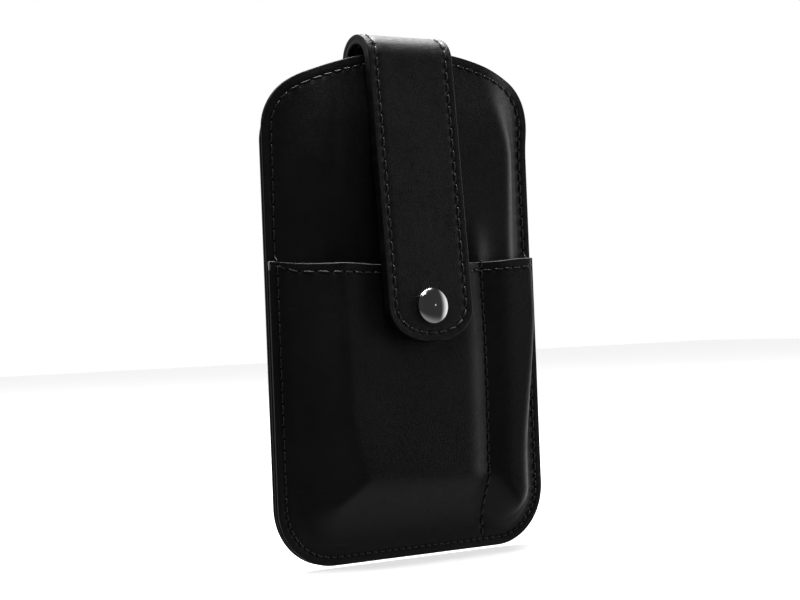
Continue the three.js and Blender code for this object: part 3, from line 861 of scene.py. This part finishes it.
def leather(name, tone, roughness, specular, scuffs):
    """Smooth black leather: fine grain, pores, mottled gloss, faint scuffs and needle holes with painted
    shade in them.

    "flat" is the place on the flat hide in millimetres, and its third part tells the outer side from the
    inner one. "stitch" is the number of stitches along the nearest seam and the distance from it.
    """
    n = material_nodes(name)
    flat, stitch, wear = n.field("flat"), n.field("stitch"), n.field("wear", "Fac")
    broad = n.noise(flat, 0.045, 3.0, 0.55)
    mottle = n.noise(flat, 0.35, 4.0, 0.6)
    fine = n.noise(flat, 4.0, 3.0, 0.6)
    shift = n.add("ShaderNodeTexNoise", {"Vector": flat, "Scale": 0.8}).outputs["Color"]
    warped = n.add("ShaderNodeVectorMath", {0: flat, 1: shift}, operation="ADD").outputs[0]
    creases = n.ramp(n.cells(warped, 1.25, "DISTANCE_TO_EDGE"), 0.0, 0.16)
    pores = n.ramp(n.cells(flat, 0.9, "F1"), 0.05, 0.2)

    # Scuffs: long thin lines that show only in some patches
    lines = n.ramp(n.noise(n.stretch(flat, (0.06, 1.5, 1), (0, 0, 0.9)), 0.9), 0.68, 0.74)
    where = n.ramp(n.noise(flat, 0.03, 1.0), 0.5, 0.62)
    scratches = n.math("MULTIPLY", n.math("MULTIPLY", lines, where), scuffs)

    # Needle holes: small ovals at every whole number along a seam, sunk by a bump, made rougher and painted
    # near black as painted shade inside them
    parts = n.add("ShaderNodeSeparateXYZ", {0: stitch}).outputs
    turn = n.math("ABSOLUTE", n.math("SUBTRACT", n.math("FRACT", n.math("ADD", parts[0], 0.5)), 0.5))
    lengthwise = n.math("DIVIDE", turn, 0.19)
    crosswise = n.math("DIVIDE", parts[1], 0.46)
    spread = n.math("ADD", n.math("POWER", lengthwise, 2.0), n.math("POWER", crosswise, 2.0))
    hole = n.ramp(spread, 0.6, 1.1, 1.0, 0.0)

    light = n.blend(n.ramp(broad, 0.3, 0.7), grey(tone * 0.8), grey(tone * 1.25))
    light = n.blend(n.ramp(mottle, 0.35, 0.75, 0.0, 0.5), light, grey(tone * 1.5))
    light = n.blend(scratches, light, grey(tone * 4))
    light = n.blend(n.math("MULTIPLY", wear, 0.35), light, grey(tone * 2.2))
    # Painted shade: the needle holes are painted near black for the shade that falls inside them
    colour_with_hole_shade = n.blend(hole, light, grey(0.0004))
    gloss = n.ramp(broad, 0.3, 0.7, roughness - 0.05, roughness + 0.05)
    gloss = n.math("ADD", gloss, n.ramp(mottle, 0.3, 0.7, -0.05, 0.05))
    gloss = n.math("ADD", gloss, n.math("MULTIPLY", scratches, 0.15))
    gloss = n.math("ADD", gloss, n.math("MULTIPLY", hole, 0.4), clamp=True)

    height = n.math("ADD", n.math("MULTIPLY", creases, 0.55), n.math("MULTIPLY", fine, 0.45))
    height = n.math("ADD", height, n.math("MULTIPLY", pores, 0.35))
    normal = n.bump(height, 0.00007, 0.65)
    normal = n.bump(n.math("MULTIPLY", hole, -1.0), 0.0004, 0.8, normal)
    n.set(Base_Color=colour_with_hole_shade, Roughness=gloss, Normal=normal, Specular_IOR_Level=specular)
    return n.owner


def cut_edge(name, tone, specular, painted_highlight=None):
    """A dressed cut edge: burnished smooth and slightly fibrous.

    Above a height on the flat hide it can carry a painted highlight: pale, broken up by the fibres, for light
    that catches the top of the edge. The last argument gives that height and the highlight's tone.
    """
    n = material_nodes(name)
    flat = n.field("flat")
    fibres = n.noise(flat, 3.0, 4.0, 0.7)
    patches = n.noise(flat, 0.25, 3.0, 0.6)
    colour = n.blend(n.ramp(patches, 0.35, 0.65), grey(tone * 0.7), grey(tone * 1.4))
    colour = n.blend(n.ramp(fibres, 0.55, 0.75, 0.0, 0.6), colour, grey(tone * 2.2))
    # Painted highlight: above the height the edge is painted pale, broken up by the fibres
    if painted_highlight is not None:
        from_z, pale = painted_highlight
        height = n.add("ShaderNodeSeparateXYZ", {0: flat}).outputs[1]
        highlight_break = n.ramp(fibres, 0.25, 0.6, 0.45, 1.0)
        share = n.math("MULTIPLY", n.ramp(height, from_z, from_z + 0.4), highlight_break)
        colour = n.blend(share, colour, grey(pale))
    n.set(
        Base_Color=colour,
        Roughness=n.ramp(patches, 0.3, 0.7, 0.42, 0.6),
        Normal=n.bump(fibres, 0.0001, 0.5),
        Specular_IOR_Level=specular,
    )
    return n.owner


def flesh_side(name, tone):
    """The dyed flesh side of the leather: matte and fibrous."""
    n = material_nodes(name)
    flat = n.field("flat")
    fibres = n.noise(n.stretch(flat, (1.0, 0.55, 1.0)), 2.6, 6.0, 0.75)
    patches = n.noise(flat, 0.16, 3.0, 0.6)
    colour = n.blend(n.ramp(patches, 0.35, 0.65), grey(tone * 0.75, 0.95), grey(tone * 1.35, 0.95))
    colour = n.blend(n.ramp(fibres, 0.5, 0.75, 0.0, 0.7), colour, grey(tone * 2.0, 0.93))
    n.set(
        Base_Color=colour,
        Roughness=n.ramp(fibres, 0.3, 0.7, 0.78, 0.95),
        Normal=n.bump(fibres, 0.00025, 0.8),
        Specular_IOR_Level=0.3,
    )
    return n.owner


def waxed_thread(name, tone):
    n = material_nodes(name)
    fibres = n.noise(n.object_place(), 6000, 2.0, 0.6)
    n.set(
        Base_Color=n.blend(fibres, grey(tone * 0.7), grey(tone * 1.8)),
        Roughness=n.ramp(fibres, 0.3, 0.7, 0.2, 0.34),
        Normal=n.bump(fibres, 0.00004, 0.5),
        Specular_IOR_Level=0.8,
    )
    return n.owner


def plated(name, colour, roughness):
    """Plated metal with a soft haze and hairline marks."""
    n = material_nodes(name)
    place = n.object_place()
    haze = n.noise(place, 260, 3.0, 0.6)
    hairs = n.stretch(place, (1, 12, 1), (0.3, 0.5, 0.7))
    marks = n.math("MULTIPLY", n.ramp(n.noise(hairs, 900, 1.0), 0.66, 0.7), 0.06)
    darker = tuple(c * 0.9 for c in colour[:3]) + (1.0,)
    n.set(
        Base_Color=n.blend(haze, darker, colour),
        Metallic=1.0,
        Roughness=n.math("ADD", n.ramp(haze, 0.35, 0.65, roughness, roughness * 1.6), marks),
        Normal=n.bump(haze, 0.00002, 0.3),
    )
    return n.owner


# The pocket's edge is painted pale above this height: a painted highlight for light catching the top of its
# open edge
HIGHLIGHT_Z = POCKET_Z - POCKET_DIP - 0.9  # just under the lowest place of the pocket's open edge

panel_leather = leather("panel_leather", tone=0.0075, roughness=0.46, specular=0.36, scuffs=1.0)
strap_leather = leather("strap_leather", tone=0.0095, roughness=0.42, specular=0.48, scuffs=0.4)
panel_edge = cut_edge("panel_edge", tone=0.004, specular=0.08)
strap_edge = cut_edge("strap_edge", tone=0.005, specular=0.15)
# painted highlight along the top of the pocket's open edge
pocket_edge = cut_edge("pocket_edge", tone=0.005, specular=0.15, painted_highlight=(HIGHLIGHT_Z, 0.26))
flesh = flesh_side("flesh_side", tone=0.012)
thread = waxed_thread("waxed_thread", tone=0.03)
nickel = plated("bright_nickel", colour=(0.62, 0.62, 0.63, 1.0), roughness=0.08)
spring_wire = plated("spring_wire", colour=(0.66, 0.52, 0.28, 1.0), roughness=0.22)


# The case

def near_divider(reach=3, count=16):
    return np.linspace(DIVIDER_X - reach, DIVIDER_X + DIVIDER_LEAN + reach, count) / HALF_WIDTH


def with_lines(base, extra, closest=0.006):
    """A graded set of grid lines with more lines where they are needed."""
    kept = [v for v in base if np.min(np.abs(extra - v)) > closest]
    return np.array(sorted([*kept, *extra]))


def back_arch_z(x, inset):
    return arch_z(x, inset) - BACK_DROP


def back_depth(x, z):
    return np.zeros_like(x)


def facing_foot(x, inset):
    return arch_z(x) - FACING_WIDTH + inset


def facing_top(x, inset):
    return arch_z(x) - FACING_INSET - inset


def facing_depth(x, z):
    return front_depth(x, z) - PANEL * slope_factor(front_depth, x, z) - FACING_GAP


front_panel = panel(
    "molded_front", bottom_z, arch_z, front_depth, PANEL, HALF_WIDTH,
    graded(120), graded(170), [rim_seam(), mouth_seam()], [panel_leather, panel_edge, flesh],
)
pocket_panel = panel(
    "molded_pocket", bottom_z, pocket_top, pocket_depth, PANEL, HALF_WIDTH,
    with_lines(graded(120), near_divider()), graded(130),
    [rim_seam(), pocket_seam(), divider_seam()], [panel_leather, pocket_edge, flesh],
)
back_panel = panel(
    "flat_back", bottom_z, back_arch_z, back_depth, PANEL, HALF_WIDTH,
    graded(100), graded(130), [rim_seam()], [flesh, panel_edge, panel_leather],
)
mouth_facing = panel(
    "mouth_lining", facing_foot, facing_top, facing_depth, FACING, FACING_HALF,
    graded(60), graded(10), [], [flesh, panel_edge, flesh],
)
strap_tongue, strap_crown_front, strap_crown_back, strap_tail = strap_pieces(
    [strap_leather, strap_edge, flesh]
)


# Thread

def case_depth(x, z):
    """The pocket's depth, and from its open edge up the front panel's."""
    step_down = smooth(z - pocket_top(x), *EDGE_STEP)
    return mix(pocket_depth(x, np.minimum(z, POCKET_Z)), front_depth(x, z), step_down)


def on_surface(depth):
    """Places at a height over the surface that stands out by the depth."""
    return lambda x, z, height: np.stack([x, -depth(x, z) - height, z], -1)


def behind(x, z, height):
    return np.stack([x, PANEL + height, z], -1)


def on_strap_inside(across, length, height):
    return on_strap(across, length, -STRAP + height)


def strap_span(low, high):
    return lambda middle: low <= middle[1] < high


case_threads = [
    stitches("rim_stitches", rim_seam(), on_surface(case_depth), thread),
    stitches("mouth_stitches", mouth_seam(), on_surface(front_depth), thread),
    stitches("pocket_stitches", pocket_seam(), on_surface(pocket_depth), thread),
    stitches("divider_stitches", divider_seam(), on_surface(case_depth), thread),
    stitches("rim_stitches_behind", rim_seam(), behind, thread),
    stitches("upper_tie_stitches", tie_seam(*UPPER_TIE), on_strap, thread),
    stitches("lower_tie_stitches", tie_seam(*LOWER_TIE), on_strap, thread),
]
spans = zip([0, *CROWN_MIDDLES], [*CROWN_MIDDLES, STRAP_LENGTH + 1])
strap_threads = []
for part, span in zip(("tongue", "crown_front", "crown_back", "tail"), spans):
    keep, name = strap_span(*span), f"strap_{part}"
    strap_threads.append((
        stitches(f"{name}_stitches", strap_seam(), on_strap, thread, keep),
        stitches(f"{name}_inner_stitches", strap_seam(), on_strap_inside, thread, keep, side=-1),
    ))


# Press stud

def dome(radius, rim, height, steps=14):
    """Half profile of a dome, from its middle to its rim."""
    angle = np.linspace(0, math.pi / 2, steps + 1)
    return [(radius * math.sin(a), -rim - (height - rim) * math.cos(a)) for a in angle]


def deeper(by, profile):
    return [(radius, by + depth) for radius, depth in profile]


press_cap = lathe("press_cap", [
    *dome(CAP_RADIUS, CAP_RIM, CAP_HEIGHT),
    (CAP_RADIUS + 0.02, -0.55), (CAP_RADIUS - 0.08, -0.3), (CAP_RADIUS - 0.35, -0.16),
    (SHANK + 0.2, -0.16), (SHANK, 0.0), (SHANK, PLY + 0.95), (SHANK - 0.15, PLY + 1.1), (0, PLY + 1.1),
], nickel)
press_socket = lathe("press_socket", deeper(SOCKET_TOP, [
    (1.8, 0), (4.6, 0), (4.9, 0.15), (5.0, 0.5), (4.9, 0.9),
    (4.1, 1.3), (3.95, 2.1), (3.8, 2.32), (3.5, 2.4),
    (3.1, 2.36), (2.9, 2.2), (2.9, 2.1), (3.7, 2.08),
    (3.72, 1.32), (2.9, 1.3), (2.9, 0.5), (1.8, 0.5),
]), nickel)
press_stud = lathe("press_stud", [
    *deeper(SOCKET_TOP, [
        (0, 1.1), (1.5, 1.1), (1.95, 1.18), (2.25, 1.38),
        (2.35, 1.6), (2.22, 1.9), (2.05, 2.1),
    ]),
    *deeper(STUD_BASE, [
        (2.1, -0.75), (2.5, -0.55), (4.3, -0.45), (4.55, -0.3), (4.6, -0.1),
        (4.5, 0), (1.4, 0),
    ]),
    *deeper(SOCKET_TOP, [(1.4, 1.8), (0, 1.8)]),
], nickel)
press_post = lathe("press_post", [
    *deeper(SOCKET_TOP, [(0, 2.1), (0.9, 2.1), (1.1, 2.3)]),
    *deeper(POST_INSIDE, [(1.1, 0), (4.0, 0), (4.2, 0.15), (4.1, 0.3), (3.6, 0.4), (0, 0.4)]),
], nickel)


def spring_ring():
    """The open wire ring in the socket's groove."""
    gap, radius, wire, depth = 0.35, 3.2, 0.25, SOCKET_TOP + 1.7
    sweep = np.linspace(gap, 2 * math.pi - gap, 61)
    section = np.linspace(0, 2 * math.pi, 12, endpoint=False)
    centre, inward, upward = snap_axis()
    points = []
    for turn in sweep:
        out = math.cos(turn) * np.array([1, 0, 0]) + math.sin(turn) * upward
        middle = centre + inward * depth + out * radius
        ring = np.multiply.outer(np.cos(section), out) + np.multiply.outer(np.sin(section), inward)
        points.append(middle + wire * ring)
    count = len(section)
    faces = ring_faces(len(sweep), count)
    faces.append(list(range(count))[::-1])
    faces.append([(len(sweep) - 1) * count + m for m in range(count)])
    return new_mesh("press_spring", np.concatenate(points), faces, [spring_wire])


press_spring = spring_ring()


# Which body each piece moves with; the CAD nodes it takes the place of are hidden

def fit(piece, body, slot, *nodes):
    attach(piece, body)
    if nodes:
        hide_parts(*nodes)


fit(front_panel, "case", "leather_black", "front_panel")
fit(pocket_panel, "case", "leather_black", "pocket_panel")
fit(back_panel, "case", "leather_black", "back_panel")
fit(mouth_facing, "case", "leather_lining", "mouth_facing")
for piece, nodes in zip(case_threads, (
    ["side_and_bottom_thread"], ["mouth_thread"], ["pocket_edge_thread"], ["pocket_divider_thread"], [],
    ["loop_upper_thread"], ["loop_lower_thread"],
)):
    fit(piece, "case", "thread_black", *nodes)
fit(press_cap, "strap_front", "snap_chrome", "snap_cap")
fit(press_socket, "strap_front", "snap_chrome", "snap_socket")
fit(press_spring, "strap_front", "spring_brass", "snap_spring")
fit(press_stud, "case", "snap_chrome", "snap_stud")
fit(press_post, "case", "snap_chrome", "snap_post")


def bend(piece, first_body, second_body, start, end, slot):
    """Bakes the piece's transform into its mesh; it does not bend the piece. The two bodies and the two
    places along the strap's inner face are not used.
    """
    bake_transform(piece)


BEND_REACH = 4.5  # how far into the straight stretches the places given to bend() lie
bodies = ["strap_front", "crown_front", "crown_top", "crown_rear", "case"]
joints_at = [RUN_LENGTH - BEND_REACH, *CROWN_MIDDLES, RUN_LENGTH + CROWN_LENGTH + BEND_REACH]
leathers = [strap_tongue, strap_crown_front, strap_crown_back, strap_tail]
stands_for = [
    ["strap_front_outer", "strap_front_lining"],
    ["strap_crown_front_outer", "strap_crown_front_lining"],
    ["strap_crown_top_outer", "strap_crown_top_lining"],
    ["strap_crown_rear_outer", "strap_crown_rear_lining", "strap_rear_outer", "strap_rear_lining"],
]
for k in range(4):
    place = (bodies[k], bodies[k + 1], joints_at[k], joints_at[k + 1])
    bend(leathers[k], *place, "leather_strap")
    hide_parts(*stands_for[k])
    for piece in strap_threads[k]:
        bend(piece, *place, "thread_black")
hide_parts("strap_front_thread")


# Floor, light and camera

def floor():
    n = material_nodes("pale_floor")
    n.set(
        Base_Color=n.blend(n.noise(n.object_place(), 3.0), grey(0.5), grey(0.54)),
        Roughness=0.9,
        Specular_IOR_Level=0.1,
        Emission_Color=grey(1.0),
        Emission_Strength=0.66,
    )
    size, below = 3.0, 0.0012
    z = float(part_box("back_panel")[0][2]) - below
    mesh = bpy.data.meshes.new("floor")
    corners = [(-size, -size, z), (size, -size, z), (size, size, z), (-size, size, z)]
    mesh.from_pydata(corners, [], [[0, 1, 2, 3]])
    mesh.materials.append(n.owner)
    sheet = new_object("floor", mesh)
    sheet.visible_diffuse = sheet.visible_glossy = False


def world(left, front, right, behind, above, below):
    """White to the camera. The object sees a room that fades softly from each of its sides to the next."""
    n = Nodes(bpy.data.worlds.new("studio"), "Background")
    direction = n.add("ShaderNodeTexCoord").outputs["Generated"]
    parts = n.add("ShaderNodeSeparateXYZ", {0: direction}).outputs
    room = left
    for axis, low, high, strength in (
        ("X", -0.6, 0.2, front),
        ("X", 0.75, 1.0, right),
        ("Y", 0.1, 0.6, behind),
        ("Z", 0.75, 0.95, above),
        ("Z", -0.2, -0.8, below),
    ):
        share = n.ramp(parts[axis], low, high, interpolation_type="SMOOTHSTEP")
        room = n.between(share, room, strength)
    camera_ray = n.add("ShaderNodeLightPath").outputs["Is Camera Ray"]
    n.set(Color=(1, 1, 1, 1), Strength=n.between(camera_ray, room, 1.0))
    bpy.context.scene.world = n.owner


def towards(azimuth, elevation):
    """The way from the case to a place around it. Straight in front is azimuth 0, to the right is 90."""
    a, e = math.radians(azimuth), math.radians(elevation)
    return Vector((math.sin(a) * math.cos(e), -math.cos(a) * math.cos(e), math.sin(e)))


def softbox(name, azimuth, elevation, distance, width, height, power):
    """A rectangular light that faces the middle of the case."""
    away = towards(azimuth, elevation)
    middle = Vector(to_frame([0, -5, HEIGHT / 2]))
    light = bpy.data.lights.new(name, "AREA")
    light.shape = "RECTANGLE"
    light.size, light.size_y, light.energy = width, height, power
    lamp = new_object(name, light)
    lamp.location = middle + away * distance
    lamp.rotation_mode = "QUATERNION"
    lamp.rotation_quaternion = away.to_track_quat("Z", "Y")


floor()
world(left=0.05, front=0.047, right=1.45, behind=0.9, above=0.45, below=0.32)
softbox("overhead", azimuth=180, elevation=74, distance=1.1, width=1.2, height=0.9, power=48)
softbox("key", azimuth=-12, elevation=56, distance=1.2, width=0.45, height=0.3, power=1.5)


CAMERA_AZIMUTH = -33.5
CAMERA_ELEVATION = -0.725
CAMERA_ROLL = math.radians(-2.263)
CAMERA_TARGET = (-2.17, -0.41, 89.95)
CAMERA_DISTANCE = 610.0
CAMERA_LENS = 77.75


def camera():
    """The photograph's viewing angle: from the front left, at the case's own height."""
    target = Vector(to_frame(CAMERA_TARGET))
    back = towards(CAMERA_AZIMUTH, CAMERA_ELEVATION)
    right = back.cross(Vector((0, 0, 1))).normalized() * -1
    up = back.cross(right)
    turned_right = right * math.cos(CAMERA_ROLL) + up * math.sin(CAMERA_ROLL)
    turned_up = up * math.cos(CAMERA_ROLL) - right * math.sin(CAMERA_ROLL)
    data = bpy.data.cameras.new("camera")
    data.sensor_width, data.lens = 36.0, CAMERA_LENS
    data.clip_start, data.clip_end = 0.01, 50.0
    view = new_object("camera", data)
    axes = Matrix((turned_right, turned_up, back)).transposed().to_4x4()
    view.matrix_world = Matrix.Translation(target + back * (CAMERA_DISTANCE * MM)) @ axes
    bpy.context.scene.camera = view


camera()
bpy.context.scene.view_settings.view_transform = "Standard"
